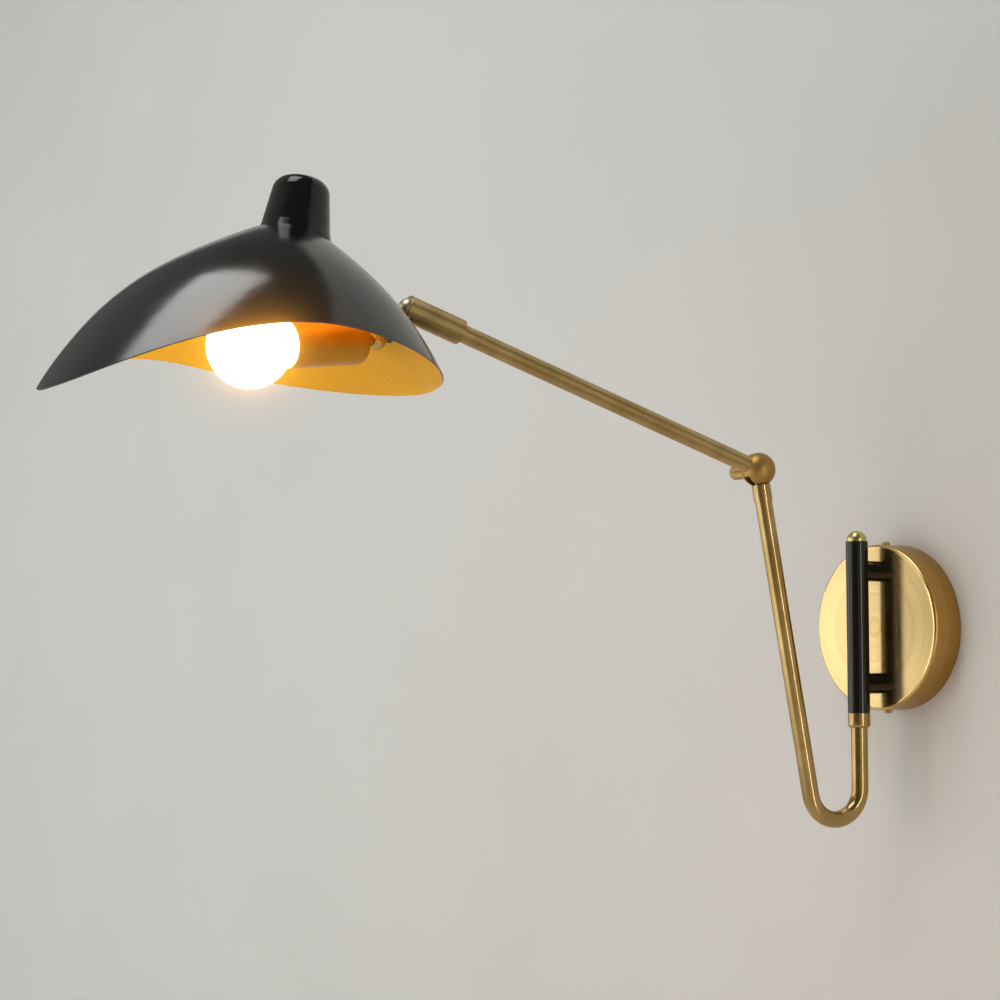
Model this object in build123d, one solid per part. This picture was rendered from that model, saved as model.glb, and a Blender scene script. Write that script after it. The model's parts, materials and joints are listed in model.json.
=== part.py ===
from build123d import *
import math
import os

# Adjustable wall lamp, in millimetres.
# The origin is the middle of the wall plate's back, on the wall. The wall is the plane Y = 0, the lamp
# reaches out along -Y, and +Z is up.

# Clearances
running_fit = 0.05
running_gap = 0.1
ball_fit = 0.15
slot_clearance = 0.4

# Wall plate and the bracket behind it
plate_diameter = 120
plate_depth = 25
plate_wall = 1.5
plate_edge = 2.5
bracket_width = 24
bracket_thickness = 2
bracket_tab_depth = 17
bracket_inset = 0.3
wall_slot_spacing = 60
wall_slot_width = 5
wall_slot_length = 12
rim_screw_radius = 2
rim_screw_depth = 12.5
rim_screw_length = 10
rim_head_radius = 3
rim_head_height = 2.5
terminal_width = 30
terminal_height = 18
terminal_depth = 14
terminal_poles = 3
terminal_hole_radius = 2
earth_screw_height = 16
earth_head_radius = 4
earth_head_height = 2.4

# Holder tube on its standoffs
holder_from_wall = 41.7
holder_diameter = 16
holder_length = 122
bush_wall = 0.95
bush_length = 14
standoff_spacing = 81
standoff_diameter = 15
nipple_radius = 5
nipple_bore = 3.5
nipple_grip = 6
nipple_tail = 6
nipple_nut_width = 15
nipple_nut_height = 4
lead_window_height = 9

# Lower arm
arm_swing = 6.2
tube_diameter = 12
tube_wall = 1
bend_drop = 114.5
bend_radius = 22
leg_lean = 10.4
leg_length = 232.4
thrust_washer_thickness = 0.6
thrust_washer_inset = 0.3
cap_diameter = 14.4
cap_skirt = 0.7
cap_plug = 10
collar_height = 10.5
collar_edge = 2.5
collar_screw_radius = 1.5

# Elbow
elbow_diameter = 24
elbow_fold = 50
ferrule_diameter = 13.2
ferrule_length = 10
ferrule_gap = 0.5
ferrule_floor = 2.5
ferrule_plug = 15
tongue_eye_radius = 6.5
tongue_thickness = 4.6
tongue_neck_width = 8
tongue_neck_thickness = 2.6
lead_bore = 2.5
friction_washer_radius = 6.3
friction_washer_thickness = 0.8
hinge_screw_radius = 3
hinge_screw_reach = 8.5
hinge_hole_reach = 9
thumb_seat = 11
thumb_seat_radius = 5.6
thumb_neck_radius = 4.4
thumb_neck_length = 2.5
thumb_radius = 5.2
thumb_length = 17
thumb_round = 3

# Upper arm and the sleeve at its tip
upper_rise = 18.7
upper_length = 288.3
upper_spigot = 14
upper_seat = 9.8
sleeve_length = 41.3
sleeve_diameter = 17
sleeve_shoulder = 3
sleeve_mouth_rim = 0.8
sleeve_bore = 13.4
sleeve_bearing = 15
tip_flange = 3
tip_flange_clearance = 0.1
tip_plug_depth = 14
ball_diameter = 13.6
ball_lip = 1.8
seat_rim = 3.6

# Stem between the tip ball and the shade
stem_pin_radius = 3
stem_head_radius = 4
stem_head_height = 1.4
stem_head_floor = 3.4
stem_radius = 4
stem_bore = 1.8
stem_reach = 24
stem_collar_radius = 7.5
stem_collar_height = 2.5
stem_thread = 5.5
saddle_radius = 8
saddle_thickness = 1.5

# Shade: a round crown that runs out to an egg-shaped rim, low at the bill
shade_yaw = 4.7
shade_lean = 9.1
shade_wall = 1
shade_front = 143.5
shade_rear = 115.5
shade_half_width = 96
tip_drop = 141
side_drop = 80.7
rear_drop = 80.5
rim_slope = 0.025
rim_fullness = 1.8
crown_slope = 0.7
crown_round = 11.4
flare_power = 5
stem_station = 80.2
ring_steps = 8
ring_points = 32

# Knob on top of the shade
knob_base_radius = 21.5
knob_foot_radius = 23
knob_top_radius = 16.8
knob_height = 29.8
knob_top_round = 10
knob_set_back = 3.4
knob_foot_height = 6
knob_screw_radius = 2.5
knob_screw_depth = 18
knob_hole_radius = 3.2
knob_recess_radius = 4
knob_head_radius = 4.5
knob_head_height = 3
knob_washer_radius = 7
knob_washer_thickness = 1.2

# Lampholder and bulb
knuckle_radius = 6.5
knuckle_depth = 10
knuckle_boss_radius = 5.5
lamp_dip = 17
lamp_nipple_radius = 4
lamp_nipple_start = 3
lamp_nipple_length = 16
holder_start = 13.6
lampholder_diameter = 30
lampholder_length = 55
lampholder_wall = 0.5
lampholder_round = 3
liner_wall = 0.75
screw_shell_wall = 0.35
base_height = 12
base_cup_radius = 9
base_cup_depth = 5
liner_inset = 1
screw_shell_inset = 4
contact_radius = 2.5
contact_height = 4
bulb_fit = 0.25
bulb_cap_length = 27
bulb_cap_bevel = 3
bulb_cap_wall = 0.6
bulb_tip_radius = 4.5
bulb_glass_wall = 0.9
bulb_neck_grip = 6
bulb_neck_clear = 0.5
bulb_radius = 26
bulb_centre = 94.8

# Values that follow from the sizes above
plate_radius = plate_diameter / 2
plate_inside = plate_radius - plate_wall
holder_radius = holder_diameter / 2
tube_radius = tube_diameter / 2
tube_bore = tube_radius - tube_wall
holder_bore = tube_radius + running_fit + bush_wall
holder_top = holder_length / 2
cap_seat = holder_top + running_gap + thrust_washer_thickness
collar_seat = -cap_seat
elbow_radius = elbow_diameter / 2
ball_radius = ball_diameter / 2
sleeve_radius = sleeve_diameter / 2
sleeve_start = upper_length - sleeve_length
sleeve_end = upper_length + ball_lip
arm_tube_end = sleeve_start + sleeve_bearing
friction_gap = tongue_thickness / 2 + running_gap
elbow_slot = 2 * (friction_gap + friction_washer_thickness)
on_base = (Align.CENTER, Align.CENTER, Align.MIN)


def rod(radius, start, end):
    """Cylinder along Z between two heights."""
    low = min(start, end)
    return Pos(0, 0, low) * Cylinder(radius, abs(end - start), align=on_base)


def pipe(radius, bore, start, end):
    """Tube along Z between two heights."""
    return rod(radius, start, end) - rod(bore, start, end)


def turned(outline):
    """Solid turned about Z from a closed outline of (radius, height) points."""
    return revolve(Plane.XZ * make_face(outline), Axis.Z)


def save(name, *solids):
    """Write one sub-part: a single solid, or a group of like ones."""
    shape = solids[0] if len(solids) == 1 else Compound(children=list(solids))
    export_step(shape, f"parts/{name}.step")


os.makedirs("parts", exist_ok=True)

# Directions and frames
swing = math.radians(arm_swing)
outward = Vector(-math.sin(swing), -math.cos(swing), 0)
upward = Vector(0, 0, 1)
hinge = outward.cross(upward)
lean = math.radians(leg_lean)
rise = math.radians(upper_rise)
leg_way = outward * math.sin(lean) + upward * math.cos(lean)
arm_way = outward * math.cos(rise) + upward * math.sin(rise)

holder_axis = Vector(0, -holder_from_wall, 0)
bend_middle = holder_axis + outward * bend_radius - upward * bend_drop
bend_low = bend_middle - (outward + upward) * bend_radius / math.sqrt(2)
bend_end = bend_middle + (outward * math.cos(lean) - upward * math.sin(lean)) * bend_radius
elbow = bend_end + leg_way * leg_length
tip = elbow + arm_way * upper_length

wall_frame = Plane(origin=(0, 0, 0), x_dir=(1, 0, 0), z_dir=(0, -1, 0)).location
holder_frame = Plane(origin=holder_axis, x_dir=(1, 0, 0), z_dir=upward).location
leg_frame = Plane(origin=elbow, x_dir=hinge, z_dir=leg_way).location
arm_frame = Plane(origin=elbow, x_dir=hinge, z_dir=arm_way).location
hinge_frame = Plane(origin=elbow, x_dir=arm_way, z_dir=hinge).location

# Wall bracket: a strip on the wall with two slots, its ends bent forward inside the plate's rim
bracket_reach = math.sqrt(plate_inside**2 - (bracket_width / 2) ** 2) - bracket_inset
strip = Box(bracket_width, 2 * bracket_reach, bracket_thickness)
wall_bracket = Pos(0, 0, bracket_thickness / 2) * strip
for way in (-1, 1):
    tab_middle = way * (bracket_reach - bracket_thickness / 2)
    wall_bracket += Pos(0, tab_middle, bracket_tab_depth / 2) * Box(
        bracket_width, bracket_thickness, bracket_tab_depth
    )
    slot = extrude(SlotOverall(wall_slot_length, wall_slot_width, rotation=90), bracket_thickness)
    wall_bracket -= Pos(0, way * wall_slot_spacing / 2, 0) * slot
    tapped_hole = Rot(-90 * way, 0, 0) * rod(rim_screw_radius, 0, plate_radius)
    wall_bracket -= Pos(0, 0, rim_screw_depth) * tapped_hole
wall_bracket -= Pos(0, earth_screw_height, 0) * rod(rim_screw_radius, 0, bracket_thickness)
save("wall_bracket", wall_frame * wall_bracket)

earth_screw = rod(rim_screw_radius, 0, bracket_thickness)
earth_screw += rod(earth_head_radius, bracket_thickness, bracket_thickness + earth_head_height)
save("earth_screw", wall_frame * Pos(0, earth_screw_height, 0) * earth_screw)

# Terminal block with a through hole and a screw hole for each pole
block_middle = bracket_thickness + terminal_depth / 2
terminal_block = Pos(0, 0, block_middle) * Box(terminal_width, terminal_height, terminal_depth)
pole_pitch = terminal_width / terminal_poles
for pole in range(terminal_poles):
    pole_x = (pole - (terminal_poles - 1) / 2) * pole_pitch
    through = Rot(90, 0, 0) * Cylinder(terminal_hole_radius, terminal_height)
    terminal_block -= Pos(pole_x, 0, block_middle) * through
    top_hole = rod(terminal_hole_radius, block_middle, bracket_thickness + terminal_depth)
    for way in (-1, 1):
        terminal_block -= Pos(pole_x, way * terminal_height / 4, 0) * top_hole
save("terminal_block", wall_frame * terminal_block)

# Wall plate: a cup with a rounded front edge
cup = fillet(rod(plate_radius, 0, plate_depth).edges().group_by(Axis.Z)[-1], plate_edge)
wall_plate = cup - rod(plate_inside, 0, plate_depth - plate_wall)
rim_screws = []
for way in (-1, 1):
    rim_hole = Rot(-90 * way, 0, 0) * rod(rim_screw_radius + running_gap, 0, plate_radius)
    wall_plate -= Pos(0, 0, rim_screw_depth) * rim_hole
    front_hole = rod(nipple_radius + running_gap, plate_depth - plate_wall, plate_depth)
    wall_plate -= Pos(0, way * standoff_spacing / 2, 0) * front_hole
    head = rod(rim_head_radius, plate_radius, plate_radius + rim_head_height)
    head = fillet(head.edges().group_by(Axis.Z)[-1], rim_head_height / 2)
    rim_screw = head + rod(rim_screw_radius, plate_radius - rim_screw_length, plate_radius)
    rim_screws.append(wall_frame * Pos(0, 0, rim_screw_depth) * Rot(-90 * way, 0, 0) * rim_screw)
save("wall_plate", wall_frame * wall_plate)
save("rim_screws", *rim_screws)

# Standoffs coped to the holder tube, with hollow nipples and nuts that clamp them to the plate
holder_blank = Pos(0, 0, holder_from_wall) * Rot(90, 0, 0) * Cylinder(holder_radius, holder_length)
standoffs = []
nipples = []
nipple_nuts = []
nipple_end = plate_depth + nipple_grip
nipple_start = plate_depth - plate_wall - nipple_tail
nut_top = plate_depth - plate_wall
for way in (-1, 1):
    height = Pos(0, way * standoff_spacing / 2, 0)
    standoff = height * rod(standoff_diameter / 2, plate_depth, holder_from_wall) - holder_blank
    standoff -= height * rod(nipple_radius, plate_depth, nipple_end)
    standoff -= height * rod(nipple_bore, plate_depth, holder_from_wall)
    standoffs.append(wall_frame * standoff)
    nipples.append(wall_frame * height * pipe(nipple_radius, nipple_bore, nipple_start, nipple_end))
    hexagon = RegularPolygon(nipple_nut_width / 2, 6, major_radius=False)
    nut = Pos(0, 0, nut_top - nipple_nut_height) * extrude(hexagon, nipple_nut_height)
    nut -= rod(nipple_radius, nut_top - nipple_nut_height, nut_top)
    nipple_nuts.append(wall_frame * height * nut)
save("standoffs", *standoffs)
save("standoff_nipples", *nipples)
save("nipple_nuts", *nipple_nuts)

# Holder tube with a lead hole from the upper standoff, and a bush in each end
holder_tube = pipe(holder_radius, holder_bore, -holder_top, holder_top)
lead_hole = Pos(0, 0, standoff_spacing / 2) * Rot(-90, 0, 0) * rod(nipple_bore, 0, holder_diameter)
holder_tube -= lead_hole
save("holder_tube", holder_frame * holder_tube)
bush = pipe(holder_bore, tube_radius + running_fit, holder_top - bush_length, holder_top)
save("holder_bushes", holder_frame * bush, holder_frame * Rot(180, 0, 0) * bush)

# Thrust washers, dome cap and collar, which hold the lower arm in the holder
washer_edge = holder_radius - thrust_washer_inset
thrust_washer = pipe(washer_edge, tube_radius, cap_seat - thrust_washer_thickness, cap_seat)
save("thrust_washers", holder_frame * thrust_washer, holder_frame * Rot(180, 0, 0) * thrust_washer)

cap_radius = cap_diameter / 2
cap_brow = cap_seat + cap_skirt
dome_cap = rod(cap_radius, cap_seat, cap_brow)
dome_cap += Pos(0, 0, cap_brow) * Sphere(cap_radius, arc_size1=0, align=on_base)
dome_cap += rod(tube_bore, cap_seat - cap_plug, cap_seat)
save("dome_cap", holder_frame * dome_cap)

collar_low = collar_seat - collar_height
collar = fillet(rod(holder_radius, collar_low, collar_seat).edges().group_by(Axis.Z)[0], collar_edge)
collar -= rod(tube_radius, collar_low, collar_seat)
set_screw = Rot(-90, 0, 0) * rod(collar_screw_radius, tube_radius, holder_radius)
set_screw = Pos(0, 0, collar_seat - collar_height / 2) * set_screw
set_screw &= pipe(holder_radius, tube_radius, collar_low, collar_seat)
save("stop_collar", holder_frame * (collar - set_screw))
save("collar_screw", holder_frame * set_screw)

# Lower arm: down through the holder, round the bend and up to the elbow
tube_top = holder_axis + upward * cap_seat
leg_start = holder_axis - upward * bend_drop
ferrule_top = elbow_radius + ferrule_gap
ferrule_seat = ferrule_top + ferrule_floor
tube_end = elbow - leg_way * ferrule_seat
lower_path = Line(tube_top, leg_start)
lower_path += ThreePointArc(leg_start, bend_low, bend_end)
lower_path += Line(bend_end, tube_end)
tube_section = Plane(origin=tube_top, z_dir=-upward) * (Circle(tube_radius) - Circle(tube_bore))
lower_tube = sweep(tube_section, path=lower_path)
window_middle = Pos(0, tube_radius, standoff_spacing / 2)
lead_window = window_middle * Box(2 * tube_diameter, tube_diameter, lead_window_height)
lower_tube -= holder_frame * lead_window
save("lower_arm_tube", lower_tube)

# Ferrule and tongue at the top of the lower arm: local X is the hinge, local Z the leg
# The ferrule's top is cupped round the elbow ball
ferrule_rim = math.sqrt(ferrule_top**2 - (ferrule_diameter / 2) ** 2)
ferrule = rod(ferrule_diameter / 2, -ferrule_top - ferrule_length, -ferrule_rim) - Sphere(ferrule_top)
ferrule -= rod(tube_radius, -ferrule_top - ferrule_length, -ferrule_seat)
ferrule += pipe(tube_bore, lead_bore, -ferrule_seat - ferrule_plug, -ferrule_seat)
eye = Rot(0, 90, 0) * Cylinder(tongue_eye_radius, tongue_thickness)
neck_middle = Pos(0, 0, -(ferrule_top + ferrule_floor / 2) / 2)
neck = neck_middle * Box(tongue_neck_thickness, tongue_neck_width, ferrule_top + ferrule_floor / 2)
elbow_tongue = ferrule + eye + neck
elbow_tongue -= Rot(0, 90, 0) * Cylinder(hinge_screw_radius + running_fit, tongue_thickness)
save("elbow_tongue", leg_frame * elbow_tongue)

# Elbow ball: slotted so that the tongue can fold both ways, with a spigot for the upper tube
# The slot is drawn with the arm along +X and the tongue at its resting angle
neck_half = tongue_neck_width / 2 + slot_clearance
far = 2 * elbow_radius
fan_angles = [math.radians(elbow_fold * share) for share in (-1, -0.5, 0, 0.5, 1)]
fan_edge = [(far * math.cos(angle), far * math.sin(angle)) for angle in fan_angles]
fan = make_face(Polyline((0, 0), *fan_edge, close=True))
slot_face = fan + Circle(tongue_eye_radius + slot_clearance)
for angle in (-elbow_fold, elbow_fold):
    slot_face += Rot(0, 0, angle) * Pos(far / 2, 0, 0) * Rectangle(far, 2 * neck_half)
tongue_angle = -(90 + upper_rise + leg_lean)
tongue_slot = Rot(0, 0, tongue_angle) * Pos(0, 0, -elbow_slot / 2) * extrude(slot_face, elbow_slot)
spigot = Rot(0, 90, 0) * rod(tube_bore, 0, elbow_radius + upper_spigot)
tube_seat = Rot(0, 90, 0) * pipe(tube_radius, tube_bore, upper_seat, elbow_radius)
elbow_ball = Sphere(elbow_radius) + spigot - tube_seat - tongue_slot
elbow_ball -= Rot(0, 90, 0) * rod(lead_bore, 0, elbow_radius + upper_spigot)
elbow_ball -= rod(hinge_screw_radius + running_fit, -hinge_hole_reach, elbow_radius)
elbow_ball -= rod(thumb_seat_radius, thumb_seat, elbow_radius)
save("elbow_ball", hinge_frame * elbow_ball)

friction_washer = pipe(
    friction_washer_radius,
    hinge_screw_radius + running_gap,
    friction_gap,
    friction_gap + friction_washer_thickness,
)
save("friction_washers", hinge_frame * friction_washer, hinge_frame * Rot(180, 0, 0) * friction_washer)

# Thumb screw through the elbow, with its grip on the far side
thumb_start = thumb_seat + running_gap
thumb_grip = thumb_start + thumb_neck_length
grip = rod(thumb_radius, thumb_grip, thumb_grip + thumb_length)
grip = fillet(grip.edges().group_by(Axis.Z)[-1], thumb_round)
thumb_screw = grip + rod(thumb_neck_radius, thumb_start, thumb_grip)
thumb_screw += rod(hinge_screw_radius, -hinge_screw_reach, thumb_start)
save("thumb_screw", hinge_frame * thumb_screw)

# Upper arm tube and the flanged plug in its tip
save("upper_arm_tube", arm_frame * pipe(tube_radius, tube_bore, upper_seat, arm_tube_end))
flange_radius = sleeve_bore / 2 - tip_flange_clearance
flange_end = arm_tube_end + tip_flange
plug_start = arm_tube_end - tip_plug_depth
tip_plug = rod(flange_radius, arm_tube_end, flange_end) + rod(tube_bore, plug_start, arm_tube_end)
tip_plug -= rod(lead_bore, plug_start, flange_end)
save("tip_plug", arm_frame * tip_plug)

# Shade surface: height under the crown at a distance and angle from the knob's axis, +X towards the bill


def rim_reach(angle):
    """Distance from the knob's axis to the rim, an egg-shaped curve."""
    along = math.cos(angle)
    across = math.sin(angle)
    reach = shade_front if along >= 0 else shade_rear
    return (abs(along / reach) ** rim_fullness + abs(across / shade_half_width) ** rim_fullness) ** (
        -1 / rim_fullness
    )


def rim_fall(forward):
    """Drop of the rim below the crown, lowest at the bill."""
    reach = shade_front if forward >= 0 else shade_rear
    end_drop = tip_drop if forward >= 0 else rear_drop
    end_slope = rim_slope * math.copysign(reach, forward)
    return side_drop + rim_slope * forward + (end_drop - side_drop - end_slope) * (forward / reach) ** 2


def crown_fall(radius):
    """Drop of the round crown: a rounded cone."""
    return math.hypot(crown_slope * radius, crown_round) - crown_round


def shade_height(radius, angle):
    """Height of the shade's outer face, which leaves the crown late and runs to the rim."""
    reach = rim_reach(angle)
    late = rim_fall(reach * math.cos(angle)) - crown_fall(reach)
    return -(crown_fall(radius) + late * (radius / reach) ** flare_power)


def shade_ring(share):
    """Closed curve on the outer face, from the knob's hole (0) to the rim (1)."""
    points = []
    for step in range(ring_points):
        angle = 2 * math.pi * step / ring_points
        radius = knob_hole_radius + (rim_reach(angle) - knob_hole_radius) * share
        points.append((radius * math.cos(angle), radius * math.sin(angle), shade_height(radius, angle)))
    return Wire([Edge.make_spline(points, periodic=True)])


# Where the stem meets the rear wall, and the wall's slope there
station_step = 0.01
station_height = shade_height(stem_station, math.pi)
station_slope = (
    shade_height(stem_station + station_step, math.pi) - shade_height(stem_station - station_step, math.pi)
) / (2 * station_step)
station = Vector(-stem_station, 0, station_height)
stem_out = Vector(station_slope, 0, 1).normalized()
ball_in_shade = station + stem_out * stem_reach

# The shade hangs on the tip ball
yaw = math.radians(shade_yaw)
tip_up = math.radians(shade_lean)
level_way = Vector(math.sin(yaw), -math.cos(yaw), 0)
forward_way = level_way * math.cos(tip_up) + upward * math.sin(tip_up)
knob_way = upward * math.cos(tip_up) - level_way * math.sin(tip_up)
shade_turn = Plane(origin=(0, 0, 0), x_dir=forward_way, z_dir=knob_way)
crown = tip - shade_turn.from_local_coords(ball_in_shade)
shade_plane = Plane(origin=crown, x_dir=forward_way, z_dir=knob_way)
shade_frame = shade_plane.location
stem_way = shade_turn.from_local_coords(stem_out * -1)

# Sleeve on the tip of the arm: local Z is the arm, local X the side where its slot lets the stem swing
slot_way = (stem_way - arm_way * stem_way.dot(arm_way)).normalized()
sleeve_frame = Plane(origin=elbow, x_dir=slot_way, z_dir=arm_way).location
stem_frame = Plane(origin=tip, x_dir=arm_way.cross(stem_way), z_dir=stem_way).location

sleeve_blank = rod(sleeve_radius, sleeve_start, sleeve_end)
sleeve_blank = fillet(sleeve_blank.edges().group_by(Axis.Z)[-1], sleeve_mouth_rim)
shoulder_edge = sleeve_blank.edges().group_by(Axis.Z)[0]
shoulder_depth = sleeve_radius - tube_radius - 2 * slot_clearance
sleeve_blank = chamfer(shoulder_edge, shoulder_depth, sleeve_shoulder)
bearing_end = arm_tube_end - 2 * running_gap
tip_sleeve = sleeve_blank - rod(tube_radius + running_fit, sleeve_start, bearing_end)
tip_sleeve -= rod(sleeve_bore / 2, bearing_end, sleeve_end)
tip_sleeve -= Pos(0, 0, upper_length) * Sphere(ball_radius + ball_fit)
slot_half = stem_radius + slot_clearance
slot_round = Pos(0, 0, upper_length) * Rot(0, 90, 0) * rod(slot_half, 0, sleeve_diameter)
slot_sides = Pos(sleeve_radius, 0, upper_length + sleeve_radius) * Box(
    sleeve_diameter, 2 * slot_half, sleeve_diameter
)
tip_sleeve -= slot_round + slot_sides
save("tip_sleeve", sleeve_frame * tip_sleeve)

seat_start = flange_end + running_gap
ball_seat = pipe(sleeve_bore / 2, lead_bore, seat_start, upper_length - seat_rim)
ball_seat -= Pos(0, 0, upper_length) * Sphere(ball_radius + ball_fit)
ball_seat -= slot_round
save("ball_seat", sleeve_frame * ball_seat)

# Tip ball, bored for the stem's pin: local Z is the stem
tip_ball = Sphere(ball_radius) - rod(stem_pin_radius + running_fit, -ball_radius, ball_radius)
tip_ball -= rod(stem_head_radius + running_gap, -ball_radius, -stem_head_floor)
save("tip_ball", stem_frame * tip_ball)

# Stem: a pin riveted in the ball, a shank with a collar outside the shade and a thread inside it
stem_shoulder = math.sqrt(ball_radius**2 - stem_pin_radius**2) + running_gap
collar_face = stem_reach - saddle_thickness
knuckle_face = stem_reach + shade_wall + saddle_thickness
stem_end = knuckle_face + stem_thread
head_face = -stem_head_floor - running_fit
stem = rod(stem_head_radius, head_face - stem_head_height, head_face)
stem += rod(stem_pin_radius, head_face, stem_shoulder)
stem += rod(stem_radius, stem_shoulder, stem_end)
stem += rod(stem_collar_radius, collar_face - stem_collar_height, collar_face)
stem -= rod(stem_bore, head_face - stem_head_height, stem_end)
save("shade_stem", stem_frame * stem)

# Shade: the outer face thickened inward, with the stem's hole
outer_face = Shell.make_loft([shade_ring(step / ring_steps) for step in range(ring_steps + 1)])
layer = 3 * saddle_thickness
inner_layer = shade_frame * Solid.thicken(outer_face, shade_wall + layer)
outer_layer = shade_frame * Solid.thicken(outer_face, -layer)
stem_hole = stem_frame * rod(stem_radius + running_gap, 0, stem_end)
shade = shade_frame * Solid.thicken(outer_face, shade_wall) - stem_hole
save("shade", shade)

outer_saddle = stem_frame * pipe(saddle_radius, stem_radius, collar_face, stem_reach + shade_wall)
inner_saddle = stem_frame * pipe(saddle_radius, stem_radius, stem_reach, knuckle_face)
save("saddle_washers", outer_saddle - inner_layer, inner_saddle - outer_layer - shade)

# Knob: turned, tapered, set back a little on the crown and hollowed underneath to sit on it
knob_sole = layer / 2
foot_height = -crown_fall(knob_foot_radius)
knob_outline = Polyline(
    (0, -knob_sole),
    (knob_foot_radius, foot_height - knob_sole),
    (knob_foot_radius, foot_height),
    (knob_base_radius, foot_height + knob_foot_height),
    (knob_top_radius, knob_height),
    (0, knob_height),
    close=True,
)
knob_blank = turned(knob_outline)
knob_blank = fillet(knob_blank.edges().group_by(Axis.Z)[-1], knob_top_round)
knob_blank = Pos(-knob_set_back, 0, 0) * knob_blank
knob_blank -= rod(knob_recess_radius, foot_height - knob_sole, 0)
knob_blank -= rod(knob_screw_radius, 0, knob_screw_depth)
knob = shade_frame * knob_blank - inner_layer
save("shade_knob", knob)

washer_run = math.hypot(crown_slope * knob_washer_radius, crown_round)
washer_incline = crown_slope**2 * knob_washer_radius / washer_run
washer_top = -crown_fall(knob_washer_radius) - shade_wall * math.hypot(1, washer_incline) - running_gap
washer_low = washer_top - knob_washer_thickness
knob_washer = pipe(knob_washer_radius, knob_screw_radius + running_gap, washer_low, washer_top)
save("knob_washer", shade_frame * knob_washer)
knob_screw = rod(knob_head_radius, washer_low - knob_head_height, washer_low)
knob_screw += rod(knob_screw_radius, washer_low, knob_screw_depth)
save("knob_screw", shade_frame * knob_screw)

# Knuckle inside the shade, where the stem's line turns to the lamp's line
knuckle = shade_plane.from_local_coords(station - stem_out * knuckle_depth)
dip = math.radians(lamp_dip)
lamp_way = forward_way * math.cos(dip) - knob_way * math.sin(dip)
lamp_frame = Plane(origin=knuckle, x_dir=shade_plane.y_dir, z_dir=lamp_way).location
knuckle_at = stem_reach + knuckle_depth
lamp_knuckle = stem_frame * (
    rod(knuckle_boss_radius, knuckle_face, knuckle_at) + Pos(0, 0, knuckle_at) * Sphere(knuckle_radius)
)
lamp_knuckle -= stem_frame * rod(stem_radius, stem_reach, stem_end)
lamp_knuckle -= stem_frame * rod(lead_bore, stem_end, knuckle_at)
lamp_knuckle -= lamp_frame * rod(lamp_nipple_radius, lamp_nipple_start, 2 * knuckle_radius)
lamp_knuckle -= lamp_frame * rod(lead_bore, 0, lamp_nipple_start)
save("lamp_knuckle", lamp_knuckle)
nipple_stop = lamp_nipple_start + lamp_nipple_length
save("lamp_nipple", lamp_frame * pipe(lamp_nipple_radius, lead_bore, lamp_nipple_start, nipple_stop))

# Lampholder: an outer shell, a moulded base, an insulating liner, a screw shell and a contact
shell_radius = lampholder_diameter / 2
shell_end = holder_start + lampholder_length
shell_inside = shell_radius - lampholder_wall
base_start = holder_start + lampholder_wall
shell_blank = rod(shell_radius, holder_start, shell_end)
shell_blank = fillet(shell_blank.edges().group_by(Axis.Z)[0], lampholder_round)
shell_hollow = rod(shell_inside, base_start, shell_end)
shell_hollow = fillet(shell_hollow.edges().group_by(Axis.Z)[0], lampholder_round - lampholder_wall)
nipple_hole = rod(lamp_nipple_radius, holder_start, nipple_stop)
save("lampholder_shell", lamp_frame * (shell_blank - shell_hollow - nipple_hole))

base_end = base_start + base_height
lampholder_base = rod(shell_inside, base_start, base_end)
lampholder_base = fillet(lampholder_base.edges().group_by(Axis.Z)[0], lampholder_round - lampholder_wall)
lampholder_base -= nipple_hole
lampholder_base -= pipe(base_cup_radius, contact_radius, base_end - base_cup_depth, base_end)
save("lampholder_base", lamp_frame * lampholder_base)

liner_inside = shell_inside - liner_wall
screw_inside = liner_inside - screw_shell_wall
screw_end = shell_end - screw_shell_inset
save("lampholder_liner", lamp_frame * pipe(shell_inside, liner_inside, base_end, shell_end - liner_inset))
save("screw_shell", lamp_frame * pipe(liner_inside, screw_inside, base_end, screw_end))
contact_end = base_end + contact_height
save("centre_contact", lamp_frame * rod(contact_radius, base_end, contact_end))

# Bulb: a cap that screws into the shell and an opal globe on a tapering neck
cap_outside = screw_inside - bulb_fit
cap_inside = cap_outside - bulb_cap_wall
bulb_cap_end = contact_end + bulb_cap_length
bevel_start = contact_end + bulb_cap_bevel
bevel_end = bevel_start + bulb_cap_bevel
cap_outline = Polyline(
    (0, contact_end),
    (bulb_tip_radius, contact_end),
    (bulb_tip_radius, bevel_start),
    (cap_outside, bevel_end),
    (cap_outside, bulb_cap_end),
    (cap_inside, bulb_cap_end),
    (cap_inside, bulb_cap_end - bulb_neck_grip),
    (0, bulb_cap_end - bulb_neck_grip),
    close=True,
)
save("bulb_cap", lamp_frame * turned(cap_outline))


def globe(inset):
    """Globe on its neck, drawn in by an inset. The cone between them is tangent to the globe."""
    neck = cap_inside - inset
    radius = bulb_radius - inset
    neck_start = bulb_cap_end - bulb_neck_grip
    neck_end = shell_end + bulb_neck_clear
    span = math.hypot(neck, neck_end - bulb_centre)
    tangent = math.atan2(neck, neck_end - bulb_centre) - math.acos(radius / span)
    touch = (radius * math.sin(tangent), bulb_centre + radius * math.cos(tangent))
    middle = (radius * math.sin(tangent / 2), bulb_centre + radius * math.cos(tangent / 2))
    top = (0, bulb_centre + radius)
    sides = Polyline(top, (0, neck_start), (neck, neck_start), (neck, neck_end), touch)
    return turned(sides + ThreePointArc(touch, middle, top))


save("bulb_globe", lamp_frame * (globe(0) - globe(bulb_glass_wall)))
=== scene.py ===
import json
import math

import bmesh
import bpy
import numpy as np
from mathutils import Matrix, Vector


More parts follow.
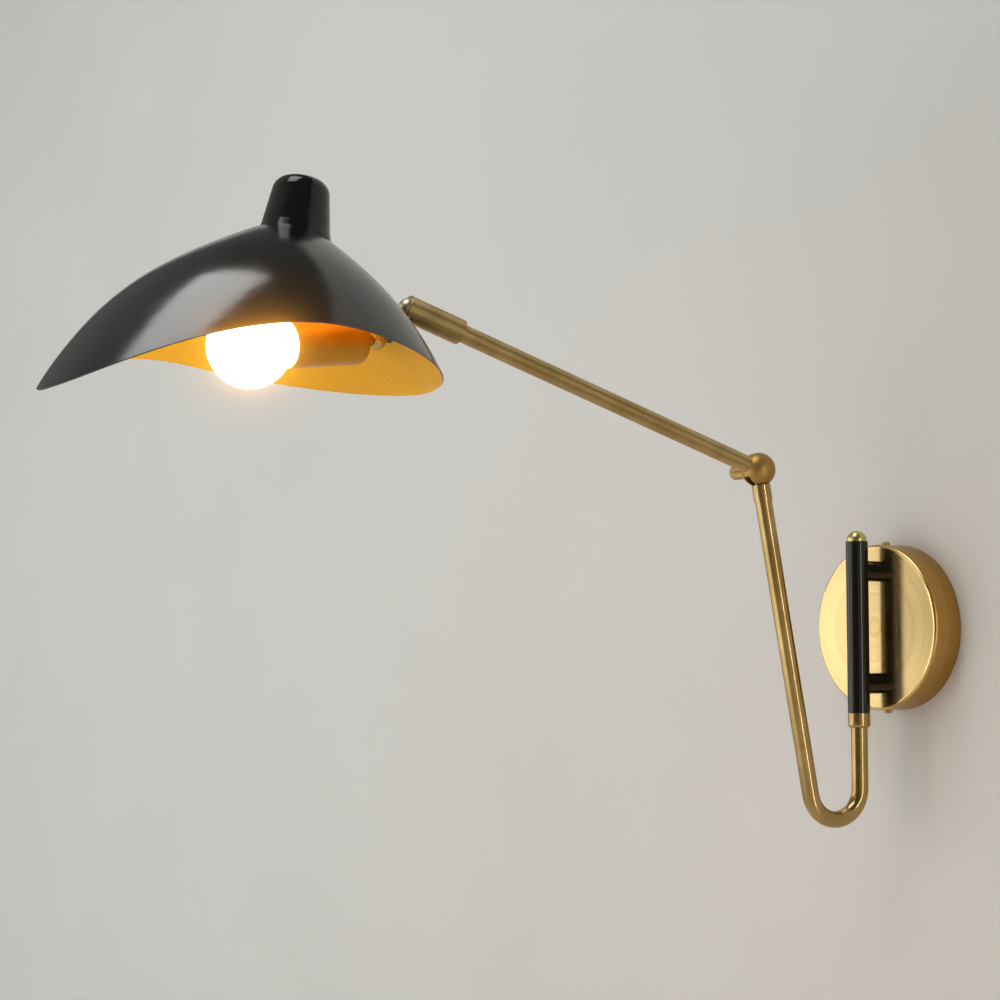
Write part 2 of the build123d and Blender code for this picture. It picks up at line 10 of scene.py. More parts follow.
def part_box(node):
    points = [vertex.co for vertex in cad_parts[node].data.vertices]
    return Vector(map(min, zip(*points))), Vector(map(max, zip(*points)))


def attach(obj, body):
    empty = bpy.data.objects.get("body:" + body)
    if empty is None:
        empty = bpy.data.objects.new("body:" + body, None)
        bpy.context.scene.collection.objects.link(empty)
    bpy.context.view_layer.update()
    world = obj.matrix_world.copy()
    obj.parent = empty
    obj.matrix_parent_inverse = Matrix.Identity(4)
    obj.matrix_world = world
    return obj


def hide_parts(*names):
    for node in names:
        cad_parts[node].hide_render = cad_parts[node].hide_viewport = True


# Adjustable wall lamp: materials, small detail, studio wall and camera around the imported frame, in metres.
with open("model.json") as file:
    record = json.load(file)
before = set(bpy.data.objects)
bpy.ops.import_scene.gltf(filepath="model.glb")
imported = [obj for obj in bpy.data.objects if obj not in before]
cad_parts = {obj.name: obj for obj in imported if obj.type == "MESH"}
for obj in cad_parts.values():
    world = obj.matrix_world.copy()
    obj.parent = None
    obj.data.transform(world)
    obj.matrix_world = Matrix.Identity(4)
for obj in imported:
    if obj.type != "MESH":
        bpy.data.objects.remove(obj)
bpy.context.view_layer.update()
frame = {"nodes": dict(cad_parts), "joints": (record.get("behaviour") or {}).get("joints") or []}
nodes = frame["nodes"]
joints = {joint["name"]: joint for joint in frame["joints"]}

# Camera at the photograph's viewing angle
camera_place = Vector((1.0514, -1.0642, -0.021))
camera_forward = Vector((-0.8258, 0.5586, 0.0779))
camera_lens = 72
camera_sensor = 36

# Wall and floor, each with a round opening, and the share of its colour that worn paint keeps
wall_gap = 0.0003
wall_opening = 0.055
wall_left = -2.6
wall_right = 1.4
wall_top = 1.15
floor_height = -1.3
floor_reach = 6
floor_opening = 0.001
panel_steps = 96
wall_colour = (0.69, 0.702, 0.695, 1)
floor_colour = (0.8, 0.74, 0.68, 1)
worn_share = 0.97

# Lights over the floor, in strips along the wall
near_strip_edge = -2
floor_light_rise = 0.3
floor_light_colour = (1, 0.97, 0.93)

# Room around the studio, dark to bright, and the backdrop
bright_way = (-0.63, -0.63, 0.45)
dark_room = (0.11, 0.108, 0.1, 1)
dim_room = (0.12, 0.118, 0.11, 1)
bright_room = (0.34, 0.335, 0.32, 1)
backdrop_colour = (0.5, 0.49, 0.475, 1)

# Lit bulb and the bloom around it
bulb_colour = (1, 0.83, 0.52, 1)
bulb_haze_colour = (1, 0.7885, 0.468, 1)
bulb_strength = 15
bloom_tint = (1, 0.55, 0.12, 1)
bloom_threshold = 1.5
bloom_strength = 0.13
bloom_size = 0.07

# Turned pieces: corners sharper than this stay sharp, and steps of a quarter round
sharp_corner = math.radians(40)
round_steps = 8

# Thumb screw, along the hinge from the elbow's middle
thumb_shank_radius = 0.003
thumb_neck_radius = 0.0044
thumb_seat = 0.0111
thumb_grip_start = 0.0136
thumb_round = 0.003
knurl_ribs = 32
knurl_rib_steps = 6
knurl_depth = 0.0003
knurl_end_share = 0.9

# Screws, with the recess, straight edge and shank as shares of the head's radius or height
rim_head_height = 0.0025
rim_shank_share = 0.66
rim_shank_length = 0.01
earth_head_height = 0.0024
earth_shank_share = 0.5
knob_head_height = 0.003
knob_shank_share = 0.55
head_edge = 0.35
recess_width = 0.3
recess_reach = 0.62
recess_depth = 0.6
terminal_poles = 3
terminal_screw_radius = 0.0019
terminal_screw_height = 0.0025
terminal_screw_sink = 0.002
terminal_shank_share = 0.7

# Threaded tubes
thread_pitch = 0.001
thread_depth = 0.0004
thread_rings_per_turn = 4
thread_steps = 32
standoff_nipple_bore = 0.0035
lamp_nipple_bore = 0.0025


def middle(node):
    """Centre of a CAD node's box."""
    low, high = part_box(node)
    return (low + high) / 2


def corners(node):
    """A CAD node's different vertices as rows of numbers."""
    rows = np.array([vertex.co for vertex in nodes[node].data.vertices])
    return np.unique(rows.round(decimals=6), axis=0)


def line_of(node, towards):
    """Middle and direction of a long round node, with the direction turned towards a point."""
    rows = corners(node)
    centre = rows.mean(axis=0)
    way = np.linalg.svd(rows - centre, full_matrices=False)[2][0]
    centre, way = Vector(centre), Vector(way)
    return centre, way if way.dot(Vector(towards) - centre) > 0 else -way


def measure(node, centre, way):
    """Least and greatest place of a node along a line, and its greatest distance from that line."""
    offset = corners(node) - np.array(centre)
    along = offset @ np.array(way)
    away = np.linalg.norm(offset - np.outer(along, way), axis=1)
    return float(along.min()), float(along.max()), float(away.max())


# Material building blocks


def add_node(tree, kind, inputs=None, **settings):
    """A shader node with its settings, and its inputs set to values or linked to sockets."""
    node = tree.nodes.new("ShaderNode" + kind)
    for name, value in settings.items():
        setattr(node, name, value)
    for name, value in (inputs or {}).items():
        if isinstance(value, bpy.types.NodeSocket):
            tree.links.new(value, node.inputs[name])
        else:
            node.inputs[name].default_value = value
    return node


def new_look(name, **values):
    """A material with one Principled shader whose plain values are set on its own sockets."""
    material = bpy.data.materials.new(name)
    material.use_nodes = True
    shader = material.node_tree.nodes["Principled BSDF"]
    for socket, value in values.items():
        shader.inputs[socket.replace("_", " ")].default_value = value
    return material, material.node_tree, shader


def dress(tree, shader, **patterns):
    """Links patterns that vary over the surface to the shader's sockets."""
    for socket, pattern in patterns.items():
        tree.links.new(pattern, shader.inputs[socket.replace("_", " ")])


def position(tree):
    """Place on the object, in the shared frame."""
    return add_node(tree, "TexCoord").outputs["Object"]


def surface_way(tree):
    """Direction that the surface faces, in the shared frame."""
    return add_node(tree, "TexCoord").outputs["Normal"]


def noise(tree, place, scale, detail=4):
    """Cloudy value from 0 to 1."""
    return add_node(tree, "TexNoise", {"Vector": place, "Scale": scale, "Detail": detail}).outputs["Fac"]


def ramp(tree, value, *stops):
    """Colours between (place, colour) stops."""
    node = add_node(tree, "ValToRGB", {"Fac": value})
    elements = node.color_ramp.elements
    while len(elements) < len(stops):
        elements.new(1)
    for element, (place, colour) in zip(elements, stops):
        element.position = place
        element.color = colour
    return node.outputs["Color"]


def tones(tree, value, dark, light, start=0.3, end=0.7):
    """Dark colour up to the start of a cloudy value's range, light colour from its end."""
    return ramp(tree, value, (start, dark), (end, light))


def spread(tree, value, low, high):
    """Noise spread over a range of values."""
    inputs = {"Value": value, "From Min": 0.3, "From Max": 0.7, "To Min": low, "To Max": high}
    return add_node(tree, "MapRange", inputs).outputs["Result"]


def mix_colours(tree, share, first, second):
    """First colour at 0, second at 1."""
    return add_node(tree, "Mix", {0: share, 6: first, 7: second}, data_type="RGBA").outputs[2]


def mix_values(tree, share, first, second):
    """First value at 0, second at 1."""
    return add_node(tree, "Mix", {0: share, 2: first, 3: second}).outputs[0]


def bump(tree, height, strength, distance):
    """Normal raised by a height value."""
    inputs = {"Height": height, "Strength": strength, "Distance": distance}
    return add_node(tree, "Bump", inputs).outputs["Normal"]


def give(material, *names):
    """Assigns a material to CAD nodes."""
    for name in names:
        nodes[name].material_slots[0].material = material


# Materials


def aged_metal(name, light, dark, rough):
    """Aged metal: slow clouds of patina, fine grain in the polish."""
    material, tree, shader = new_look(name, Metallic=1)
    place = position(tree)
    clouds = noise(tree, place, scale=45, detail=6)
    grain = noise(tree, place, scale=1400, detail=3)
    dress(
        tree, shader,
        Base_Color=tones(tree, clouds, dark, light, start=0.36, end=0.64),
        Roughness=spread(tree, noise(tree, place, scale=160), *rough),
        Normal=bump(tree, grain, strength=0.05, distance=0.0002),
    )
    return material


def drawn_brass(way):
    """Antique brass of a straight tube, drawn along its length so that streaks of light run along it."""
    light, dark = (0.5, 0.355, 0.155, 1), (0.4, 0.275, 0.105, 1)
    material = aged_metal("drawn_brass", light, dark, rough=(0.42, 0.5))
    tree = material.node_tree
    shader = tree.nodes["Principled BSDF"]
    shader.inputs["Anisotropic"].default_value = 0.95
    settings = {"vector_type": "VECTOR", "convert_from": "OBJECT", "convert_to": "WORLD"}
    along = add_node(tree, "VectorTransform", {"Vector": tuple(way)}, **settings)
    dress(tree, shader, Tangent=along.outputs["Vector"])
    return material


def spun_brass():
    """Plate spun on a lathe: a polished face with faint rings, and a brushed rim whose darker colour is
    painted shade.
    """
    material, tree, shader = new_look("spun_brass", Metallic=1, Anisotropic=0.3)
    place = add_node(tree, "SeparateXYZ", {"Vector": position(tree)}).outputs
    across = add_node(tree, "CombineXYZ", {"X": place["X"], "Y": place["Z"]}).outputs["Vector"]
    radius = add_node(tree, "VectorMath", {0: across}, operation="LENGTH").outputs["Value"]
    ring_place = add_node(tree, "CombineXYZ", {"X": radius, "Y": place["Y"]}).outputs["Vector"]
    rings = noise(tree, ring_place, scale=1500, detail=3)
    bands = noise(tree, ring_place, scale=120, detail=3)
    outward = add_node(tree, "SeparateXYZ", {"Vector": surface_way(tree)}).outputs["Y"]
    facing = add_node(tree, "Math", {0: outward}, operation="ABSOLUTE").outputs["Value"]
    face_range = {"Value": facing, "From Min": 0.5, "From Max": 0.95}
    face = add_node(tree, "MapRange", face_range).outputs["Result"]

    face_colour = tones(tree, bands, dark=(0.78, 0.55, 0.23, 1), light=(0.92, 0.69, 0.33, 1))
    # Painted shade: surfaces that don't face straight out from the wall get a much darker colour; only their
    # rougher brushing is the plate's own finish.
    rim_shade_painted_colour = tones(tree, bands, dark=(0.44, 0.25, 0.065, 1), light=(0.56, 0.33, 0.09, 1))
    face_rough = spread(tree, rings, low=0.12, high=0.18)
    rim_rough = spread(tree, rings, low=0.25, high=0.4)
    dress(
        tree, shader,
        Base_Color=mix_colours(tree, face, rim_shade_painted_colour, face_colour),
        Roughness=mix_values(tree, face, rim_rough, face_rough),
        Normal=bump(tree, rings, strength=0.05, distance=0.0002),
        Tangent=add_node(tree, "Tangent", direction_type="RADIAL", axis="Y").outputs["Tangent"],
    )
    return material


def black_dust(tree, place, scale):
    """Near black with faint dust in it."""
    dust = noise(tree, place, scale, detail=8)
    dark, light = (0.0025, 0.0024, 0.002, 1), (0.007, 0.0066, 0.0055, 1)
    return tones(tree, dust, dark, light, start=0.4, end=0.75)


def gloss_black(name, rough, peel):
    """Black lacquer with a slight orange peel."""
    material, tree, shader = new_look(name)
    place = position(tree)
    dress(
        tree, shader,
        Base_Color=black_dust(tree, place, scale=220),
        Roughness=spread(tree, noise(tree, place, scale=90), *rough),
        Normal=bump(tree, noise(tree, place, scale=380, detail=2), strength=peel, distance=0.0003),
    )
    return material


def two_sided_enamel():
    """The shade: gloss black outside, satin gold inside, told apart by which way the sheet faces."""
    material, tree, shader = new_look("shade_enamel", Specular_IOR_Level=1)
    place = position(tree)
    inside = tuple(middle("bulb_globe"))
    outward = add_node(tree, "VectorMath", {0: place, 1: inside}, operation="SUBTRACT").outputs["Vector"]
    product = {0: outward, 1: surface_way(tree)}
    facing = add_node(tree, "VectorMath", product, operation="DOT_PRODUCT").outputs["Value"]
    outer = add_node(tree, "Math", {0: facing, 1: 0}, operation="GREATER_THAN").outputs["Value"]

    flecks = noise(tree, place, scale=900)
    gold = tones(tree, flecks, dark=(0.59, 0.31, 0.004, 1), light=(0.67, 0.41, 0.012, 1))
    satin = spread(tree, flecks, low=0.4, high=0.5)
    polish = spread(tree, noise(tree, place, scale=60), low=0.15, high=0.2)
    peel = noise(tree, place, scale=260, detail=2)
    dress(
        tree, shader,
        Base_Color=mix_colours(tree, outer, gold, black_dust(tree, place, scale=200)),
        Metallic=mix_values(tree, outer, 0.5, 0),
        Roughness=mix_values(tree, outer, satin, polish),
        Normal=bump(tree, peel, strength=0.05, distance=0.0003),
    )
    return material


def plated_steel():
    """Zinc-plated steel with a faint crystalline bloom."""
    material, tree, shader = new_look("zinc_steel", Metallic=1)
    place = position(tree)
    crystals = noise(tree, place, scale=300, detail=5)
    dark, light = (0.45, 0.46, 0.47, 1), (0.62, 0.62, 0.61, 1)
    dress(
        tree, shader,
        Base_Color=tones(tree, crystals, dark, light, start=0.35, end=0.65),
        Roughness=spread(tree, crystals, low=0.28, high=0.42),
        Normal=bump(tree, noise(tree, place, scale=1500, detail=2), strength=0.1, distance=0.0002),
    )
    return material


def moulded(name, light, dark, rough):
    """Moulded plastic: a fine matt texture and slight shifts of colour."""
    material, tree, shader = new_look(name)
    place = position(tree)
    shifts = noise(tree, place, scale=120, detail=5)
    dress(
        tree, shader,
        Base_Color=tones(tree, shifts, dark, light, start=0.35, end=0.65),
        Roughness=spread(tree, noise(tree, place, scale=500), *rough),
        Normal=bump(tree, noise(tree, place, scale=2500, detail=2), strength=0.15, distance=0.0002),
    )
    return material


def lit_glass():
    """Opal glass of a lit bulb, with a little haze in it."""
    material, tree, shader = new_look("opal_glass", Roughness=0.25, Emission_Strength=bulb_strength)
    haze = noise(tree, position(tree), scale=90, detail=3)
    dress(
        tree, shader,
        Emission_Color=tones(tree, haze, bulb_haze_colour, bulb_colour),
        Base_Color=tones(tree, haze, dark=(0.9, 0.88, 0.84, 1), light=(0.96, 0.95, 0.92, 1)),
    )
    return material


def painted(name, colour, one_sided):
    """Matt wall paint with a soft roller texture. A one-sided wall lets the view from behind through."""
    material, tree, shader = new_look(name, Roughness=0.9, Specular_IOR_Level=0.2)
    place = position(tree)
    worn = tuple(value * worn_share for value in colour[:3]) + (1,)
    patches = noise(tree, place, scale=3, detail=3)
    roller = noise(tree, place, scale=700, detail=3)
    dress(
        tree, shader,
        Base_Color=tones(tree, patches, worn, colour, start=0.35, end=0.65),
        Normal=bump(tree, roller, strength=0.05, distance=0.0005),
    )
    if one_sided:
        behind = add_node(tree, "NewGeometry").outputs["Backfacing"]
        clear = add_node(tree, "BsdfTransparent").outputs["BSDF"]
        faces = add_node(tree, "MixShader", {0: behind, 1: shader.outputs["BSDF"], 2: clear})
        tree.links.new(faces.outputs["Shader"], tree.nodes["Material Output"].inputs["Surface"])
    return material


antique = aged_metal("antique_brass", (0.47, 0.33, 0.14, 1), (0.37, 0.25, 0.09, 1), rough=(0.16, 0.24))
aged = aged_metal("aged_brass", (0.45, 0.28, 0.08, 1), (0.36, 0.21, 0.05, 1), rough=(0.4, 0.5))
olive = aged_metal("dome_brass", (0.68, 0.6, 0.24, 1), (0.56, 0.48, 0.17, 1), rough=(0.2, 0.28))
polished = aged_metal("polished_brass", (0.66, 0.48, 0.2, 1), (0.56, 0.38, 0.13, 1), rough=(0.12, 0.2))
pale = aged_metal("pale_brass", (0.72, 0.62, 0.42, 1), (0.6, 0.5, 0.32, 1), rough=(0.28, 0.36))
lamp_brass = aged_metal(
    "lampholder_brass", (0.62, 0.29, 0.035, 1), (0.53, 0.235, 0.022, 1), rough=(0.32, 0.42)
)
screw_brass = aged_metal("screw_brass", (0.5, 0.36, 0.15, 1), (0.4, 0.27, 0.1, 1), rough=(0.3, 0.42))
aluminium = aged_metal("bare_aluminium", (0.7, 0.7, 0.7, 1), (0.6, 0.6, 0.61, 1), rough=(0.3, 0.4))
steel = plated_steel()
lacquer = gloss_black("black_gloss", rough=(0.08, 0.13), peel=0.03)
knob_black = gloss_black("black_knob", rough=(0.12, 0.17), peel=0.04)
nylon = moulded("nylon", (0.022, 0.022, 0.021, 1), (0.014, 0.014, 0.013, 1), rough=(0.4, 0.52))
white_plastic = moulded(
    "white_plastic", (0.78, 0.77, 0.73, 1), (0.72, 0.71, 0.67, 1), rough=(0.35, 0.47)
)
arm_way = line_of("upper_arm_tube", middle("tip_ball"))[1]

give(spun_brass(), "wall_plate")
give(antique, "stop_collar", "lower_arm_tube", "elbow_tongue", "thumb_screw", "tip_plug")
give(drawn_brass(arm_way), "upper_arm_tube", "tip_sleeve")
give(aged, "elbow_ball")
give(olive, "dome_cap")
give(pale, "tip_ball")
give(polished, "shade_stem", "lamp_knuckle")
give(lamp_brass, "lampholder_shell", "lamp_nipple")
give(screw_brass, "rim_screws", "earth_screw", "centre_contact")
give(steel, "wall_bracket", "standoff_nipples", "nipple_nuts", "collar_screw", "knob_screw", "knob_washer")
give(lacquer, "holder_tube", "standoffs")
give(knob_black, "shade_knob")
give(nylon, "holder_bushes", "thrust_washers", "friction_washers", "ball_seat", "saddle_washers")
give(white_plastic, "terminal_block", "lampholder_base", "lampholder_liner")
give(aluminium, "screw_shell", "bulb_cap")
give(two_sided_enamel(), "shade")
give(lit_glass(), "bulb_globe")

# Detail building blocks


def turned(outline, steps=48):
    """Solid turned about Z from (radius, height) points, closed on the axis or back to its first point."""
    shape = bmesh.new()
    rings = []
    for radius, height in outline:
        turns = [2 * math.pi * step / steps for step in range(steps if radius else 1)]
        places = [(radius * math.cos(turn), radius * math.sin(turn), height) for turn in turns]
        rings.append([shape.verts.new(place) for place in places])
    pairs = list(zip(rings, rings[1:]))
    if outline[0][0]:
        pairs.append((rings[-1], rings[0]))
    for low, high in pairs:
        for step in range(steps):
            after = (step + 1) % steps
            walk = ((low, step), (low, after), (high, after), (high, step))
            loop = [ring[turn % len(ring)] for ring, turn in walk]
            shape.faces.new(list(dict.fromkeys(loop)))
    bmesh.ops.recalc_face_normals(shape, faces=shape.faces)
    return shape


def quarter_round(inner, low, across, rise):
    """Outline points of a quarter ellipse, from its widest point up to one step short of its top."""
    turns = [math.pi / 2 * step / round_steps for step in range(round_steps)]
    return [(inner + across * math.cos(turn), low + rise * math.sin(turn)) for turn in turns]


def groove(shape, low, high, depth, ribs=1, pitch=None):
    """Sinks straight grooves between two heights, or a thread where a pitch is given."""
    for vertex in shape.verts:
        if low < vertex.co.z < high:
            phase = ribs * math.atan2(vertex.co.y, vertex.co.x)
            if pitch:
                phase -= 2 * math.pi * vertex.co.z / pitch
            radius = vertex.co.xy.length
            vertex.co.xy *= 1 - depth * (0.5 - 0.5 * math.cos(phase)) / radius


def as_mesh(shape, name):
    """Mesh of a shape, smooth over its curves and sharp at its corners."""
    mesh = bpy.data.meshes.new(name)
    shape.to_mesh(mesh)
    shape.free()
    mesh.polygons.foreach_set("use_smooth", [True] * len(mesh.polygons))
    mesh.set_sharp_from_angle(angle=sharp_corner)
    return mesh


def cross_prism(half, reach, low, high):
    """Plus-shaped bar along Z."""
    shape = bmesh.new()
    quarter = [Vector((reach, -half)), Vector((reach, half)), Vector((half, half))]
    points = [Matrix.Rotation(math.pi / 2 * turn, 2) @ point for turn in range(4) for point in quarter]
    ends = [[shape.verts.new((*point, height)) for point in points] for height in (low, high)]
    shape.faces.new(ends[0])
    shape.faces.new(ends[1])
    for step in range(len(points)):
        after = (step + 1) % len(points)
        shape.faces.new((ends[0][step], ends[0][after], ends[1][after], ends[1][step]))
    bmesh.ops.recalc_face_normals(shape, faces=shape.faces)
    return shape


def screw(name, radius, height, shank_radius, shank_length):
    """Domed screw along Z with a cross recess, its head seated at the origin."""
    edge = head_edge * height
    outline = [(0, -shank_length), (shank_radius, -shank_length), (shank_radius, 0), (radius, 0)]
    outline += quarter_round(0, edge, radius, height - edge) + [(0, height)]
    depth = recess_depth * height
    half_width = recess_width * radius / 2
    recess = cross_prism(half_width, recess_reach * radius, height - depth, height + depth)
    head = bpy.data.objects.new(name, as_mesh(turned(outline), name))
    tool = bpy.data.objects.new(name + "_tool", as_mesh(recess, name + "_tool"))
    for part in (head, tool):
        bpy.context.scene.collection.objects.link(part)
    cut = head.modifiers.new("recess", "BOOLEAN")
    cut.operation = "DIFFERENCE"
    cut.object = tool
    view = bpy.context.evaluated_depsgraph_get()
    mesh = bpy.data.meshes.new_from_object(head.evaluated_get(view))
    for part in (head, tool):
        bpy.data.objects.remove(part)
    return mesh


def threaded_tube(name, radius, bore, length):
    """Tube along Z from the origin with a thread on its outside."""
    rings = math.ceil(length / thread_pitch * thread_rings_per_turn)
    outside = [(radius, length * ring / rings) for ring in range(rings + 1)]
    shape = turned([(bore, 0)] + outside + [(bore, length)], thread_steps)
    groove(shape, 0, length, thread_depth, pitch=thread_pitch)
    return as_mesh(shape, name)


def seated(place, way):
    """Where a piece made along Z goes: its origin, and the direction it points in."""
    return Matrix.Translation(place) @ Vector(way).to_track_quat("Z", "Y").to_matrix().to_4x4()


def add_piece(name, mesh, places, material, slot, body, *replaced):
    """One piece from copies of a mesh at its places. It rides on a body and stands for the CAD nodes named."""
    shape = bmesh.new()
    for place in places:
        copy = mesh.copy()
        copy.transform(place)
        shape.from_mesh(copy)
        bpy.data.meshes.remove(copy)
    piece = bpy.data.objects.new(name, as_mesh(shape, name))
    piece.data.materials.append(material)
    bpy.context.scene.collection.objects.link(piece)
    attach(piece, body)
    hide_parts(*replaced)


# Thumb screw with a knurled grip, along the hinge towards its free end
elbow = Vector(joints["elbow_fold"]["pos_m"])
hinge_way = Vector(joints["thumb_screw_turn"]["axis"])
if hinge_way.dot(middle("thumb_screw") - elbow) < 0:
    hinge_way = -hinge_way
thumb_start, thumb_end, grip_radius = measure("thumb_screw", elbow, hinge_way)
grip_inner = grip_radius - thumb_round
thumb_outline = [
    (0, thumb_start),
    (thumb_shank_radius, thumb_start),
    (thumb_shank_radius, thumb_seat),
    (thumb_neck_radius, thumb_seat),
    (thumb_neck_radius, thumb_grip_start),
    (grip_radius - knurl_depth, thumb_grip_start),
    (grip_radius, thumb_grip_start + knurl_depth),
    *quarter_round(grip_inner, thumb_end - thumb_round, thumb_round, thumb_round),
    (grip_inner, thumb_end),
    (0, thumb_end),
]
thumb_shape = turned(thumb_outline, knurl_rib_steps * knurl_ribs)
knurl_end = thumb_end - knurl_end_share * thumb_round
groove(thumb_shape, thumb_grip_start, knurl_end, knurl_depth, ribs=knurl_ribs)
thumb_mesh = as_mesh(thumb_shape, "thumb_turned")
thumb_place = seated(elbow, hinge_way)
add_piece(
    "thumb_screw_knurled", thumb_mesh, [thumb_place], antique, "antique_brass", "thumb_screw", "thumb_screw"
)

# Cross-recessed screws in the plate's rim, on the bracket and under the knob
rim_low, rim_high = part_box("rim_screws")
rim_middle = middle("rim_screws")
rim_radius = (rim_high.x - rim_low.x) / 2
rim_mesh = screw("rim_screw", rim_radius, rim_head_height, rim_shank_share * rim_radius, rim_shank_length)
rim_reach = rim_high.z - rim_head_height
rim_places = [seated((rim_middle.x, rim_middle.y, end * rim_reach), (0, 0, end)) for end in (-1, 1)]
add_piece("rim_screws_crossed", rim_mesh, rim_places, screw_brass, "brass_screw", "wall_mount", "rim_screws")

earth_low, earth_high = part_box("earth_screw")
earth_middle = middle("earth_screw")
earth_radius = (earth_high.x - earth_low.x) / 2
earth_seat = earth_low.y + earth_head_height
earth_mesh = screw(
    "earth_screw", earth_radius, earth_head_height, earth_shank_share * earth_radius, earth_high.y - earth_seat
)
earth_place = seated((earth_middle.x, earth_seat, earth_middle.z), (0, -1, 0))
add_piece(
    "earth_screw_crossed", earth_mesh, [earth_place], screw_brass, "brass_screw", "wall_mount", "earth_screw"
)

knob_middle, knob_way = line_of("knob_screw", middle("bulb_globe"))
knob_start, knob_end, knob_radius = measure("knob_screw", knob_middle, knob_way)
knob_seat = knob_end - knob_head_height
knob_mesh = screw(
    "knob_screw", knob_radius, knob_head_height, knob_shank_share * knob_radius, knob_seat - knob_start
)
knob_place = seated(knob_middle + knob_seat * knob_way, knob_way)
add_piece("knob_screw_crossed", knob_mesh, [knob_place], steel, "zinc_steel", "shade", "knob_screw")

# Clamp screws of the terminal block, two for each pole
block_low, block_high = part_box("terminal_block")
block_middle = middle("terminal_block")
pole_pitch = (block_high.x - block_low.x) / terminal_poles
clamp_rise = (block_high.z - block_low.z) / 4
clamp_seat = block_low.y + terminal_screw_sink + terminal_screw_height
clamp_shank_radius = terminal_shank_share * terminal_screw_radius
clamp_mesh = screw(
    "clamp_screw", terminal_screw_radius, terminal_screw_height, clamp_shank_radius, terminal_screw_height
)
clamp_places = []
for pole in range(terminal_poles):
    pole_place = block_middle.x + (pole - (terminal_poles - 1) / 2) * pole_pitch
    for rise in (-clamp_rise, clamp_rise):
        clamp_places.append(seated((pole_place, clamp_seat, block_middle.z + rise), (0, -1, 0)))
add_piece("clamp_screws", clamp_mesh, clamp_places, screw_brass, "brass_screw", "wall_mount")

# Threaded tubes behind the plate and under the lampholder
nipple_low, nipple_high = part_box("standoff_nipples")
nipple_middle = middle("standoff_nipples")
nipple_radius = (nipple_high.x - nipple_low.x) / 2
nipple_mesh = threaded_tube("nipple", nipple_radius, standoff_nipple_bore, nipple_high.y - nipple_low.y)
nipple_places = []
for nipple_height in (nipple_low.z + nipple_radius, nipple_high.z - nipple_radius):
    nipple_places.append(seated((nipple_middle.x, nipple_high.y, nipple_height), (0, -1, 0)))
add_piece(
    "standoff_nipples_threaded", nipple_mesh, nipple_places,
    steel, "zinc_steel", "wall_mount", "standoff_nipples",
)

lamp_middle, lamp_way = line_of("lamp_nipple", middle("bulb_globe"))
lamp_start, lamp_end, lamp_radius = measure("lamp_nipple", lamp_middle, lamp_way)
lamp_mesh = threaded_tube("lamp_nipple", lamp_radius, lamp_nipple_bore, lamp_end - lamp_start)
lamp_place = seated(lamp_middle + lamp_start * lamp_way, lamp_way)
add_piece(
    "lamp_nipple_threaded", lamp_mesh, [lamp_place], lamp_brass, "lampholder_brass", "shade", "lamp_nipple"
)

# Studio: a wall with the opening a wall box needs, a pale floor, soft lights


def panel(name, material, opening, left, right, low, high):
    """Flat panel across Z with a round opening at the origin, cut square at its four sides."""
    shape = bmesh.new()
    inner, outer = [], []
    for step in range(panel_steps):
        turn = 2 * math.pi * (step + 0.5) / panel_steps
        way = Vector((math.cos(turn), math.sin(turn), 0))
        reach = min((right if way.x > 0 else left) / way.x, (high if way.y > 0 else low) / way.y)
        inner.append(shape.verts.new(way * opening))
        outer.append(shape.verts.new(way * reach))
    for step in range(panel_steps):
        after = (step + 1) % panel_steps
        shape.faces.new((inner[step], outer[step], outer[after], inner[after]))
    mesh = bpy.data.meshes.new(name)
    shape.to_mesh(mesh)
    shape.free()
    mesh.materials.append(material)
    piece = bpy.data.objects.new(name, mesh)
    bpy.context.scene.collection.objects.link(piece)
    return piece


wall_paint = painted("wall_paint", wall_colour, one_sided=True)
wall = panel("wall", wall_paint, wall_opening, wall_left, wall_right, floor_height, wall_top)
wall.rotation_euler = (math.radians(90), 0, 0)
wall.location = (0, wall_gap, 0)
floor_paint = painted("floor_paint", floor_colour, one_sided=False)
floor = panel("floor", floor_paint, floor_opening, -floor_reach, floor_reach, -floor_reach, floor_reach)
floor.location = (0, 0, floor_height)


def soft_light(name, place, target, across, width, height, radiance, colour):
    """Soft box that faces a point, its width along a direction, given by how bright its face looks."""
    data = bpy.data.lights.new(name, "AREA")
    data.shape = "RECTANGLE"
    data.size = width
    data.size_y = height
    data.energy = radiance * math.pi * width * height
    data.color = colour
    light = bpy.data.objects.new(name, data)
    back = (Vector(place) - Vector(target)).normalized()
    level = (Vector(across) - back * back.dot(Vector(across))).normalized()
    light.location = place
    light.rotation_euler = Matrix((level, back.cross(level), back)).transposed().to_euler()
    light.visible_camera = False
    bpy.context.scene.collection.objects.link(light)
    return light


def floor_light(name, start, end, radiance):
    """Low light that shines down on a strip of the floor and on nothing else."""
    place = Vector((0, (start + end) / 2, floor_height + floor_light_rise))
    soft_light(
        name, place, target=place - Vector((0, 0, 1)), across=(1, 0, 0),
        width=2 * floor_reach, height=end - start, radiance=radiance, colour=floor_light_colour,
    )


